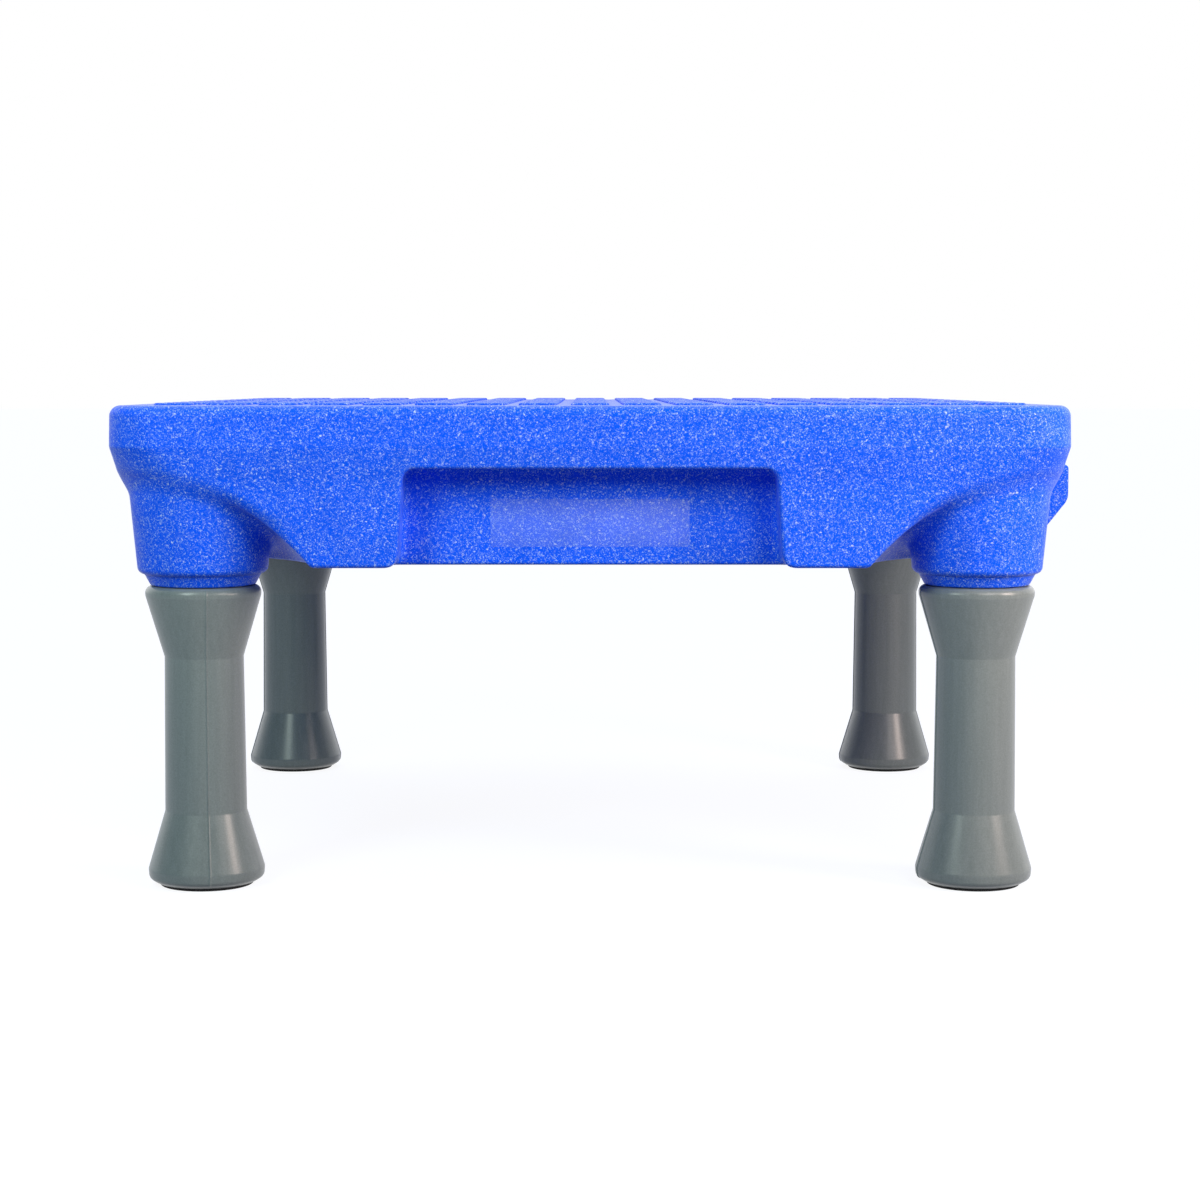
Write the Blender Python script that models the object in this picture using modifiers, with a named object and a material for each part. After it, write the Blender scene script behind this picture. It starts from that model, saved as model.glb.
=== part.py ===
"""Dog training platform: a hollow moulded deck on four legs that screw into its corner bosses.

Metres, +Z up. The front, with the label, faces -Y. The mating tabs are on the right (+X) and the
rear (+Y). The origin is on the floor, below the middle of the box round the deck and its tabs.
Run it with: blender --background --python part.py
"""

import math

import bpy

# Clearances
SEAT_GAP = 0.0003
THREAD_CLEARANCE = 0.0005
OVERLAP = 0.001

# Foot pads
PAD_RADIUS = 0.030
PAD_THICKNESS = 0.0035
PAD_SEAT_DEPTH = 0.0015
PAD_EDGE_CHAMFER = 0.0006

# Legs, turned about their axis
LEG_LENGTH = 0.1924
LEG_WALL = 0.0035
LEG_INSET = 0.0555
FOOT_RADIUS = 0.0375
FOOT_ROUND = 0.0065
FOOT_FLARE_HEIGHT = 0.0462
SHAFT_LOW_RADIUS = 0.0263
SHAFT_HIGH_RADIUS = 0.0253
COLLAR_RADIUS = 0.037
COLLAR_CONE_LENGTH = 0.0395
SHOULDER_ROUND = 0.0045
SHOULDER_ROUND_HEIGHT = 0.0065
NECK_RADIUS = 0.0235
NECK_LENGTH = 0.025

# Screw thread between a leg's neck and its socket, right handed
THREAD_LEAD = 0.010
THREAD_DEPTH = 0.003
THREAD_CREST_WIDTH = 0.0025
THREAD_FLANK_RUN = 0.0012
THREAD_END_MARGIN = 0.0007
SOCKET_HEADROOM = 0.002

# Deck
DECK_SIDE = 0.6096
DECK_CORNER_RADIUS = 0.038
DECK_DEPTH = 0.1028
DECK_WALL = 0.0055
TOP_EDGE_ROUND = 0.007
BAND_HEIGHT = 0.0275
KNEE_DROP = 0.020
KNEE_INSET = 0.0026
SKIRT_INSET = 0.0045
SKIRT_CORNER_RADIUS = 0.055

# Treads, the low bars on the deck's top
TREAD_COUNT = 17
TREAD_MARGIN = 0.0288
TREAD_LENGTH = 0.024
TREAD_WIDTH = 0.012
TREAD_HEIGHT = 0.0015
TREAD_DRAFT = 0.0003

# Leg bosses
BOSS_DROP = 0.0139
BOSS_HIGH_RADIUS = 0.0465
BOSS_LOW_RADIUS = 0.0418
BOSS_FILLET = 0.006
BOSS_EDGE_ROUND = 0.0046
RING_HEIGHT = 0.0074
RING_HIGH_RADIUS = 0.0374
RING_LOW_RADIUS = 0.0333

# Reliefs, the domes that part the bosses from the skirt, each turned about a corner of the skirt
RELIEF_RISE = 0.0546
RELIEF_RADIUS = 0.126
RELIEF_POWER = 2.63
RELIEF_RINGS = 7

# Mating recesses (front and left) and tabs (right and rear)
RECESS_HALF_WIDTH = 0.1167
RECESS_FLARE = 0.004
RECESS_RISE = 0.0621
RECESS_DEPTH = 0.035
RECESS_ROUND = 0.004
TAB_HALF_WIDTH = 0.110
TAB_REACH = 0.0297
TAB_TOP_DROP = 0.0442
TAB_NOSE_HEIGHT = 0.0213
TAB_CHAMFER = 0.003
TAB_FOOT_RISE = 0.001
TAB_SLANT = math.radians(38.4)

# Kiss-offs, the hollow cones that hold the underside to the top
KISS_OFF_SPREAD = 0.120
KISS_OFF_MOUTH_RADIUS = 0.030
KISS_OFF_TIP_RADIUS = 0.014

# Label in the front recess, and the plug in the vent
LABEL_WIDTH = 0.1268
LABEL_HEIGHT = 0.0305
LABEL_THICKNESS = 0.0004
LABEL_RISE = 0.0268
VENT_RADIUS = 0.004
VENT_PLACE = (0.060, 0.0)
PLUG_HEAD_RADIUS = 0.007
PLUG_HEAD_THICKNESS = 0.0016
PLUG_BARB = 0.0006
PLUG_BARB_LENGTH = 0.003

# Facets
TURN_STEPS = 24
BOSS_STEPS = 24
RELIEF_STEPS = 48
CONE_STEPS = 12
CORNER_STEPS = 5
ROUND_STEPS = 2

# Heights above the floor, each built on the one before
LEG_FOOT = PAD_THICKNESS + SEAT_GAP - PAD_SEAT_DEPTH
LEG_SHOULDER = LEG_FOOT + LEG_LENGTH
SOCKET_MOUTH = LEG_SHOULDER + SEAT_GAP
SKIRT_BOTTOM = SOCKET_MOUTH + BOSS_DROP
DECK_TOP = SKIRT_BOTTOM + DECK_DEPTH
SKIN_TOP = DECK_TOP - TREAD_HEIGHT
SOCKET_TOP = LEG_SHOULDER + NECK_LENGTH + SOCKET_HEADROOM
RELIEF_CROWN = SKIRT_BOTTOM + RELIEF_RISE

# The thread fills the neck between its end margins
THREAD_BASE_WIDTH = THREAD_CREST_WIDTH + 2 * THREAD_FLANK_RUN * (THREAD_DEPTH + OVERLAP) / THREAD_DEPTH
THREAD_START_RISE = THREAD_END_MARGIN + THREAD_BASE_WIDTH / 2
THREAD_TURNS = (NECK_LENGTH - 2 * THREAD_START_RISE) / THREAD_LEAD
THREAD_STEPS = math.floor(THREAD_TURNS * TURN_STEPS)
THREAD_RUN_OUT_STEPS = 3

# The sides that hold a recess or a tab, with the turn that brings its shape there
RECESS_SIDES = {"front": 0.0, "left": -math.pi / 2}
TAB_SIDES = {"right": 0.0, "rear": math.pi / 2}

# Each leg stands the same way in from its two sides of the deck
LEG_SPACING = DECK_SIDE - 2 * LEG_INSET
LEG_AXES = {
    "front_left": (-LEG_SPACING / 2, -LEG_SPACING / 2),
    "front_right": (LEG_SPACING / 2, -LEG_SPACING / 2),
    "rear_left": (-LEG_SPACING / 2, LEG_SPACING / 2),
    "rear_right": (LEG_SPACING / 2, LEG_SPACING / 2),
}
SKIRT_CORNER = DECK_SIDE / 2 - SKIRT_INSET
RELIEF_PLACES = {
    side: (math.copysign(SKIRT_CORNER, x), math.copysign(SKIRT_CORNER, y), 0.0)
    for side, (x, y) in LEG_AXES.items()
}


def clear_scene():
    for thing in list(bpy.data.objects):
        bpy.data.objects.remove(thing, do_unlink=True)


def new_collection(name):
    collection = bpy.data.collections.new(name)
    bpy.context.scene.collection.children.link(collection)
    return collection


def new_empty(name, place, parent=None):
    """An empty that carries what stands on one axis."""
    empty = bpy.data.objects.new(name, None)
    empty.location = place
    empty.parent = parent
    PARTS.objects.link(empty)
    return empty


clear_scene()
PARTS = new_collection("dog_training_platform")
CUTTERS = new_collection("cutters")
DECK_AXIS = new_empty("deck_axis", (-TAB_REACH / 2, -TAB_REACH / 2, 0.0))
CORNERS = {side: new_empty(f"leg_axis_{side}", (x, y, 0.0), DECK_AXIS) for side, (x, y) in LEG_AXES.items()}


def plain_material(name, colour, roughness, alpha=1.0):
    """A Principled material of one linear colour."""
    material = bpy.data.materials.new(name)
    material.use_nodes = True
    shader = material.node_tree.nodes["Principled BSDF"]
    shader.inputs["Base Color"].default_value = (*colour, 1.0)
    shader.inputs["Roughness"].default_value = roughness
    shader.inputs["Metallic"].default_value = 0.0
    shader.inputs["Alpha"].default_value = alpha
    return material


def as_part(thing, material, axis=DECK_AXIS):
    """Puts an object among the parts, on its axis and with its material."""
    PARTS.objects.link(thing)
    thing.parent = axis
    thing.data.materials.append(material)
    return thing


def as_cutter(thing, axis=DECK_AXIS):
    """Puts an object among the cutters, which aren't rendered."""
    CUTTERS.objects.link(thing)
    thing.parent = axis
    thing.hide_render = True
    thing.display_type = "WIRE"
    return thing


def from_faces(name, points, faces):
    mesh = bpy.data.meshes.new(name)
    mesh.from_pydata(points, [], faces)
    return bpy.data.objects.new(name, mesh)


def turned(name, outline, steps, place=(0.0, 0.0, 0.0)):
    """A body turned about its own Z axis. The outline is (radius, height), down its outer side."""
    mesh = bpy.data.meshes.new(name)
    edges = [(i, i + 1) for i in range(len(outline) - 1)]
    mesh.from_pydata([(radius, 0.0, height) for radius, height in outline], edges, [])
    thing = bpy.data.objects.new(name, mesh)
    thing.location = place
    screw = thing.modifiers.new("Turn", "SCREW")
    screw.steps = steps
    screw.render_steps = steps
    screw.use_merge_vertices = True
    screw.merge_threshold = 0.00001
    return thing


def loft(name, rings):
    """A closed skin through level rings, lowest first, each with as many points, anticlockwise."""
    count = len(rings[0])
    faces = [tuple(reversed(range(count)))]
    for level in range(len(rings) - 1):
        low = level * count
        high = low + count
        for i in range(count):
            j = (i + 1) % count
            faces.append((low + i, low + j, high + j, high + i))
    top = (len(rings) - 1) * count
    faces.append(tuple(range(top, top + count)))
    return from_faces(name, [point for ring in rings for point in ring], faces)


def rounded_square(half, radius, height):
    """Points round a level square with round corners."""
    points = []
    for corner in range(4):
        quarter = corner * math.pi / 2
        middle = math.sqrt(2) * (half - radius)
        centre_x = middle * math.cos(quarter + math.pi / 4)
        centre_y = middle * math.sin(quarter + math.pi / 4)
        for step in range(CORNER_STEPS + 1):
            angle = quarter + step / CORNER_STEPS * math.pi / 2
            points.append((centre_x + radius * math.cos(angle), centre_y + radius * math.sin(angle), height))
    return points


def rectangle(half_x, half_y, height, centre=(0.0, 0.0)):
    """Points round a level rectangle."""
    x, y = centre
    return [
        (x - half_x, y - half_y, height),
        (x + half_x, y - half_y, height),
        (x + half_x, y + half_y, height),
        (x - half_x, y + half_y, height),
    ]


def arc(centre, radius, start, end, steps):
    """(radius, height) points of an arc between two angles in degrees, with both ends."""
    points = []
    for step in range(steps + 1):
        angle = math.radians(start + (end - start) * step / steps)
        points.append((centre[0] + radius * math.cos(angle), centre[1] + radius * math.sin(angle)))
    return points


def boolean(thing, other, operation):
    """Cuts or joins. Both meshes are closed, and so is what the manifold solver makes of them."""
    modifier = thing.modifiers.new(f"{operation.title()} {other.name}", "BOOLEAN")
    modifier.operation = operation
    modifier.solver = "MANIFOLD"
    modifier.object = other


def thread_ridge(name, root, clearance, steps_below, steps):
    """A right-handed ridge wound on a core, run out to nothing at both ends.

    It grows by a clearance, and starts so many steps below the lower end of a leg's own thread.
    """
    sunk_root = root - OVERLAP
    crest = NECK_RADIUS + THREAD_DEPTH + clearance
    crest_width = THREAD_CREST_WIDTH + 2 * clearance
    base_width = crest_width + 2 * THREAD_FLANK_RUN * (crest - sunk_root) / THREAD_DEPTH
    points = []
    for step in range(steps + 1):
        turn = (step - steps_below) / TURN_STEPS
        angle = turn * math.tau
        height = THREAD_START_RISE + THREAD_LEAD * turn
        fullness = min(1.0, min(step, steps - step) / THREAD_RUN_OUT_STEPS)
        peak = root + (crest - root) * fullness - OVERLAP / 2 * (1 - fullness)
        for radius, rise in (
            (sunk_root, -base_width / 2),
            (peak, -crest_width / 2),
            (peak, crest_width / 2),
            (sunk_root, base_width / 2),
        ):
            points.append((radius * math.cos(angle), radius * math.sin(angle), height + rise))
    faces = [(0, 1, 2, 3)]
    for step in range(steps):
        low = 4 * step
        for i in range(4):
            j = (i + 1) % 4
            faces.append((low + i, low + 4 + i, low + 4 + j, low + j))
    end = 4 * steps
    faces.append((end + 3, end + 2, end + 1, end))
    thing = from_faces(name, points, faces)
    thing.location.z = LEG_SHOULDER
    return thing


def leg_outline():
    """A leg's closed outline, from the hollow's floor up its inside and down its outside."""
    cone_top = LEG_LENGTH - SHOULDER_ROUND_HEIGHT
    cone_foot = cone_top - COLLAR_CONE_LENGTH
    floor = PAD_SEAT_DEPTH + LEG_WALL
    inside = [
        (0.0, floor),
        (FOOT_RADIUS - FOOT_ROUND - LEG_WALL, floor),
        (FOOT_RADIUS - LEG_WALL, floor + FOOT_ROUND),
        (SHAFT_LOW_RADIUS - LEG_WALL, FOOT_FLARE_HEIGHT),
        (SHAFT_HIGH_RADIUS - LEG_WALL, cone_foot),
        (COLLAR_RADIUS - LEG_WALL, cone_top - LEG_WALL / 2),
        (COLLAR_RADIUS - SHOULDER_ROUND - LEG_WALL / 2, LEG_LENGTH - LEG_WALL),
        (NECK_RADIUS - LEG_WALL, LEG_LENGTH - LEG_WALL),
        (NECK_RADIUS - LEG_WALL, LEG_LENGTH + NECK_LENGTH),
    ]
    neck = [(NECK_RADIUS, LEG_LENGTH + NECK_LENGTH), (NECK_RADIUS, LEG_LENGTH)]
    shoulder = []
    for radius, height in arc((0.0, 0.0), 1.0, 90, 0, ROUND_STEPS):
        shoulder_radius = COLLAR_RADIUS - SHOULDER_ROUND + SHOULDER_ROUND * radius
        shoulder.append((shoulder_radius, cone_top + SHOULDER_ROUND_HEIGHT * height))
    shaft = [(SHAFT_HIGH_RADIUS, cone_foot), (SHAFT_LOW_RADIUS, FOOT_FLARE_HEIGHT)]
    foot = arc((FOOT_RADIUS - FOOT_ROUND, FOOT_ROUND), FOOT_ROUND, 0, -90, ROUND_STEPS)
    pad_seat = [
        (PAD_RADIUS + SEAT_GAP, 0.0),
        (PAD_RADIUS + SEAT_GAP, PAD_SEAT_DEPTH),
        (0.0, PAD_SEAT_DEPTH),
    ]
    return inside + neck + shoulder + shaft + foot + pad_seat


def make_leg(side, material):
    """One hollow leg: a turned body with the thread joined to its neck."""
    leg = turned(f"leg_{side}", leg_outline(), TURN_STEPS)
    leg.location.z = LEG_FOOT
    as_part(leg, material, CORNERS[side])
    ridge = thread_ridge(f"thread_{side}", NECK_RADIUS, 0.0, 0, THREAD_STEPS)
    boolean(leg, as_cutter(ridge, CORNERS[side]), "UNION")
    return leg


def make_foot_pad(side, material):
    outline = [
        (0.0, PAD_THICKNESS),
        (PAD_RADIUS - PAD_EDGE_CHAMFER, PAD_THICKNESS),
        (PAD_RADIUS, PAD_THICKNESS - PAD_EDGE_CHAMFER),
        (PAD_RADIUS, PAD_EDGE_CHAMFER),
        (PAD_RADIUS - PAD_EDGE_CHAMFER, 0.0),
        (0.0, 0.0),
    ]
    return as_part(turned(f"foot_pad_{side}", outline, TURN_STEPS), material, CORNERS[side])


def deck_form(name, wall):
    """The deck's plain form, shrunk by a wall: its skirt, band and round top edge."""
    half = DECK_SIDE / 2 - wall
    top = SKIN_TOP - wall
    edge = max(TOP_EDGE_ROUND - wall, OVERLAP)
    band_foot = DECK_TOP - BAND_HEIGHT
    corner = DECK_CORNER_RADIUS - wall
    skirt_corner = SKIRT_CORNER_RADIUS - wall
    rings = [
        rounded_square(half - SKIRT_INSET, skirt_corner, SKIRT_BOTTOM + wall),
        rounded_square(half - KNEE_INSET, skirt_corner, band_foot - KNEE_DROP),
        rounded_square(half, corner, band_foot),
    ]
    for inset, height in arc((edge, top - edge), edge, 180, 90, ROUND_STEPS):
        rings.append(rounded_square(half - inset, corner - inset, height))
    return loft(name, rings)


def treads(name):
    """Every tread as one mesh: level bars in rows and columns, each sunk a little into the skin."""
    pitch = (DECK_SIDE - 2 * TREAD_MARGIN - TREAD_LENGTH) / (TREAD_COUNT - 1)
    points = []
    faces = []
    for row in range(TREAD_COUNT):
        for column in range(TREAD_COUNT):
            centre = ((column - (TREAD_COUNT - 1) / 2) * pitch, (row - (TREAD_COUNT - 1) / 2) * pitch)
            low = len(points)
            high = low + 4
            for draft, height in ((TREAD_DRAFT, SKIN_TOP - OVERLAP), (0.0, DECK_TOP)):
                points += rectangle(TREAD_LENGTH / 2 + draft, TREAD_WIDTH / 2 + draft, height, centre)
            faces.append((low + 3, low + 2, low + 1, low))
            faces.append((high, high + 1, high + 2, high + 3))
            for i in range(4):
                j = (i + 1) % 4
                faces.append((low + i, low + j, high + j, high + i))
    return from_faces(name, points, faces)


def relief_outline(wall):
    """The dome of a relief, grown by a wall. It falls from its crown by a power of the radius."""
    outline = [(0.0, RELIEF_CROWN + wall)]
    for ring in range(1, RELIEF_RINGS + 1):
        share = math.sqrt(ring / RELIEF_RINGS)
        slope = RELIEF_POWER * RELIEF_RISE * share ** (RELIEF_POWER - 1) / RELIEF_RADIUS
        steepness = math.hypot(1.0, slope)
        radius = RELIEF_RADIUS * share + wall * slope / steepness
        outline.append((radius, RELIEF_CROWN - RELIEF_RISE * share**RELIEF_POWER + wall / steepness))
    mouth, height = outline[-1]
    below = SKIRT_BOTTOM - BOSS_DROP
    return outline + [(mouth + (height - below) / slope, below), (0.0, below)]


def boss_outline():
    """A boss from inside the deck down to the ring that the leg's shoulder meets."""
    ring_top = SOCKET_MOUTH + RING_HEIGHT
    fillet = arc(
        (BOSS_HIGH_RADIUS + BOSS_FILLET, RELIEF_CROWN - BOSS_FILLET), BOSS_FILLET, 120, 180, 2
    )
    edge_centre = (BOSS_LOW_RADIUS - BOSS_EDGE_ROUND, ring_top + BOSS_EDGE_ROUND)
    return [
        (0.0, RELIEF_CROWN + BOSS_FILLET),
        (BOSS_HIGH_RADIUS + BOSS_FILLET, RELIEF_CROWN + OVERLAP),
        *fillet,
        *arc(edge_centre, BOSS_EDGE_ROUND, 0, -90, 2),
        (RING_HIGH_RADIUS, ring_top),
        (RING_LOW_RADIUS, SOCKET_MOUTH),
        (0.0, SOCKET_MOUTH),
    ]


def boss_hollow_outline():
    """The hollow inside a boss, open into the hollow of the deck."""
    bottom = SOCKET_MOUTH + RING_HEIGHT + DECK_WALL
    top = RELIEF_CROWN + DECK_WALL + BOSS_FILLET
    return [
        (0.0, top),
        (BOSS_HIGH_RADIUS - DECK_WALL, top),
        (BOSS_LOW_RADIUS - DECK_WALL, bottom),
        (0.0, bottom),
    ]


def kiss_off_outline(wall):
    """A kiss-off's cone, grown by a wall, whose tip ends where it meets the deck's top skin."""
    top = SKIN_TOP - 1.5 * DECK_WALL + wall
    mouth = SKIRT_BOTTOM - OVERLAP
    return [
        (0.0, top),
        (KISS_OFF_TIP_RADIUS + wall, top),
        (KISS_OFF_MOUTH_RADIUS + wall, mouth),
        (0.0, mouth),
    ]


def recess(name, turn, wall):
    """The mating recess of one side, grown by a wall: a box that widens downwards."""
    ceiling = SKIRT_BOTTOM + RECESS_RISE + wall
    mouth = SKIRT_BOTTOM - RECESS_RISE / 2
    flare = RECESS_FLARE * (ceiling - mouth) / RECESS_RISE
    back = DECK_SIDE / 2 - RECESS_DEPTH - wall
    outside = DECK_SIDE / 2 + RECESS_DEPTH
    centre = (0.0, -(back + outside) / 2)
    half_depth = (outside - back) / 2
    half_width = RECESS_HALF_WIDTH + wall
    thing = loft(
        name,
        [
            rectangle(half_width + flare, half_depth, mouth, centre),
            rectangle(half_width, half_depth, ceiling, centre),
        ],
    )
    bevel = thing.modifiers.new("Round corners", "BEVEL")
    bevel.width = RECESS_ROUND
    bevel.segments = 2
    thing.rotation_euler.z = turn
    return thing


def tab(name, turn, wall):
    """The mating tab of one side, shrunk by a wall: a block whose underside slants to the skirt."""
    outer = DECK_SIDE / 2 + TAB_REACH - wall
    root = DECK_SIDE / 2 - KNEE_INSET - DECK_WALL / 2 - 2 * wall
    top = DECK_TOP - TAB_TOP_DROP - wall
    nose = DECK_TOP - TAB_TOP_DROP - TAB_NOSE_HEIGHT - TAB_CHAMFER + wall * math.tan(TAB_SLANT / 2)
    foot = SKIRT_BOTTOM + TAB_FOOT_RISE + wall
    heel = max(outer - (nose - foot) * math.tan(TAB_SLANT), root + OVERLAP)
    profile = [
        (root, foot),
        (heel, foot),
        (outer, nose),
        (outer, top - TAB_CHAMFER),
        (outer - TAB_CHAMFER, top),
        (root, top),
    ]
    half_width = TAB_HALF_WIDTH - wall
    count = len(profile)
    points = [(x, -half_width, z) for x, z in profile] + [(x, half_width, z) for x, z in profile]
    faces = [tuple(range(count)), tuple(reversed(range(count, 2 * count)))]
    for i in range(count):
        j = (i + 1) % count
        faces.append((i, i + count, j + count, j))
    thing = from_faces(name, points, faces)
    thing.rotation_euler.z = turn
    return thing


def socket_wall_outline():
    """The wall round a leg's socket, closed over the socket's top."""
    radius = NECK_RADIUS + THREAD_DEPTH + THREAD_CLEARANCE + DECK_WALL
    top = SOCKET_TOP + DECK_WALL
    return [(0.0, top), (radius, top), (radius, SOCKET_MOUTH), (0.0, SOCKET_MOUTH)]


def socket_bore_outline():
    """The bore that a leg's neck goes up into."""
    radius = NECK_RADIUS + THREAD_CLEARANCE
    mouth = SOCKET_MOUTH - OVERLAP
    return [(0.0, SOCKET_TOP), (radius, SOCKET_TOP), (radius, mouth), (0.0, mouth)]


def vent_outline():
    top = SKIRT_BOTTOM + 2 * DECK_WALL
    bottom = SKIRT_BOTTOM - OVERLAP
    return [(0.0, top), (VENT_RADIUS, top), (VENT_RADIUS, bottom), (0.0, bottom)]


def deck_hollow():
    """The air inside the deck: its form less a wall, clear of every recess, relief and socket."""
    hollow = as_cutter(deck_form("deck_hollow", DECK_WALL))
    for side, corner in CORNERS.items():
        place = RELIEF_PLACES[side]
        relief = turned(f"relief_wall_{side}", relief_outline(DECK_WALL), RELIEF_STEPS, place)
        boolean(hollow, as_cutter(relief), "DIFFERENCE")
        boss = turned(f"boss_hollow_{side}", boss_hollow_outline(), BOSS_STEPS)
        boolean(hollow, as_cutter(boss, corner), "UNION")
        socket_wall = turned(f"socket_wall_{side}", socket_wall_outline(), BOSS_STEPS)
        boolean(hollow, as_cutter(socket_wall, corner), "DIFFERENCE")
    for name, turn in RECESS_SIDES.items():
        boolean(hollow, as_cutter(recess(f"recess_wall_{name}", turn, DECK_WALL)), "DIFFERENCE")
    for name, turn in TAB_SIDES.items():
        boolean(hollow, as_cutter(tab(f"tab_hollow_{name}", turn, DECK_WALL)), "UNION")
    for name, place in kiss_off_places().items():
        cone = turned(f"kiss_off_wall_{name}", kiss_off_outline(DECK_WALL), CONE_STEPS, place)
        boolean(hollow, as_cutter(cone), "DIFFERENCE")
    return hollow


def kiss_off_places():
    spread = KISS_OFF_SPREAD
    return {
        "middle": (0.0, 0.0, 0.0),
        "front_left": (-spread, -spread, 0.0),
        "front_right": (spread, -spread, 0.0),
        "rear_left": (-spread, spread, 0.0),
        "rear_right": (spread, spread, 0.0),
    }


def make_deck(material):
    """The deck moulding: its form, cut and joined, then hollowed and threaded."""
    deck = as_part(deck_form("deck", 0.0), material)
    boolean(deck, as_cutter(treads("treads")), "UNION")
    for side, place in RELIEF_PLACES.items():
        relief = turned(f"relief_{side}", relief_outline(0.0), RELIEF_STEPS, place)
        boolean(deck, as_cutter(relief), "DIFFERENCE")
    for side, corner in CORNERS.items():
        boss = turned(f"boss_{side}", boss_outline(), BOSS_STEPS)
        boolean(deck, as_cutter(boss, corner), "UNION")
    for name, turn in RECESS_SIDES.items():
        boolean(deck, as_cutter(recess(f"recess_{name}", turn, 0.0)), "DIFFERENCE")
    for name, turn in TAB_SIDES.items():
        boolean(deck, as_cutter(tab(f"tab_{name}", turn, 0.0)), "UNION")
    for name, place in kiss_off_places().items():
        cone = turned(f"kiss_off_{name}", kiss_off_outline(0.0), CONE_STEPS, place)
        boolean(deck, as_cutter(cone), "DIFFERENCE")
    boolean(deck, deck_hollow(), "DIFFERENCE")
    groove_steps = THREAD_STEPS + TURN_STEPS + THREAD_RUN_OUT_STEPS
    for side, corner in CORNERS.items():
        bore = turned(f"socket_bore_{side}", socket_bore_outline(), TURN_STEPS)
        boolean(deck, as_cutter(bore, corner), "DIFFERENCE")
        groove = thread_ridge(
            f"socket_groove_{side}",
            NECK_RADIUS + THREAD_CLEARANCE,
            THREAD_CLEARANCE,
            TURN_STEPS,
            groove_steps,
        )
        boolean(deck, as_cutter(groove, corner), "DIFFERENCE")
    vent = turned("vent", vent_outline(), CONE_STEPS, (*VENT_PLACE, 0.0))
    boolean(deck, as_cutter(vent), "DIFFERENCE")
    return deck


def make_label_plate(material):
    """The bare label on the back wall of the front recess."""
    wall = -DECK_SIDE / 2 + RECESS_DEPTH
    centre = (0.0, wall - SEAT_GAP - LABEL_THICKNESS / 2)
    bottom = SKIRT_BOTTOM + LABEL_RISE - LABEL_HEIGHT / 2
    rings = [
        rectangle(LABEL_WIDTH / 2, LABEL_THICKNESS / 2, bottom, centre),
        rectangle(LABEL_WIDTH / 2, LABEL_THICKNESS / 2, bottom + LABEL_HEIGHT, centre),
    ]
    return as_part(loft("label_plate", rings), material)


def make_vent_plug(material):
    """The push-in plug of the vent: a flat head under the deck, a stem and a barb above its skin."""
    head_top = SKIRT_BOTTOM - SEAT_GAP
    stem = VENT_RADIUS - SEAT_GAP
    barb_foot = SKIRT_BOTTOM + DECK_WALL + SEAT_GAP
    outline = [
        (0.0, barb_foot + PLUG_BARB_LENGTH),
        (stem - PLUG_BARB, barb_foot + PLUG_BARB_LENGTH),
        (VENT_RADIUS + PLUG_BARB, barb_foot + PLUG_BARB),
        (VENT_RADIUS + PLUG_BARB, barb_foot),
        (stem, barb_foot),
        (stem, head_top),
        (PLUG_HEAD_RADIUS, head_top),
        (PLUG_HEAD_RADIUS, head_top - PLUG_HEAD_THICKNESS / 2),
        (PLUG_HEAD_RADIUS - PLUG_HEAD_THICKNESS / 2, head_top - PLUG_HEAD_THICKNESS),
        (0.0, head_top - PLUG_HEAD_THICKNESS),
    ]
    return as_part(turned("vent_plug", outline, CONE_STEPS, (*VENT_PLACE, 0.0)), material)


blue = plain_material("speckled_blue_plastic", (0.013, 0.085, 0.87), 0.45)
make_deck(blue)
make_label_plate(plain_material("clear_vinyl", (0.75, 0.82, 0.95), 0.25, 0.35))
make_vent_plug(plain_material("blue_plug_plastic", (0.01, 0.06, 0.6), 0.5))
for side_name in LEG_AXES:
    make_leg(side_name, plain_material(f"grey_plastic_{side_name}", (0.21, 0.23, 0.22), 0.42))
    make_foot_pad(side_name, plain_material(f"black_rubber_{side_name}", (0.012, 0.012, 0.013), 0.8))
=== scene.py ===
"""A square training platform: a speckled blue deck, moulded in one piece, on four grey screw-in legs.

The sections follow the object as it is put together: the deck, its treads, the vent plug, the
label, the legs and their foot pads. The studio comes last. Lengths are metres, in the frame of the
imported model: +Z up, the front with the label facing -Y, the floor at zero.
"""

import bpy
import numpy as np
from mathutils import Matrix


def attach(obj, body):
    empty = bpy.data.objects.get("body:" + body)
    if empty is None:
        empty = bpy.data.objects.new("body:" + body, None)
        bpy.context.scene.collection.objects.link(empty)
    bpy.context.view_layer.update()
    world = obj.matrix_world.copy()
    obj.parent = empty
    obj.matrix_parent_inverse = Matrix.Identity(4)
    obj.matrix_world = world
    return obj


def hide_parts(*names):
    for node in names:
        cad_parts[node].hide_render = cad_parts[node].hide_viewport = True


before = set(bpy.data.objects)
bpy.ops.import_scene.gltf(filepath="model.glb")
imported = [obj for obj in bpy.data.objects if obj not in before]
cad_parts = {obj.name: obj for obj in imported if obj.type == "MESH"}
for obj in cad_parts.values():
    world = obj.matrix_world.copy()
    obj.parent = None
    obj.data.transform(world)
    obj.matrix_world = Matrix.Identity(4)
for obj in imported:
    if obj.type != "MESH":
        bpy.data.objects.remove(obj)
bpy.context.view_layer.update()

# Deck
#
# The deck is one hollow rotational moulding in polyethylene: the powder melts onto the wall of a
# turning mould, so every edge comes out soft. Its four leg bosses, the two mating recesses and the
# two mating tabs run into it with no joint, so its skin is one surface too.

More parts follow.
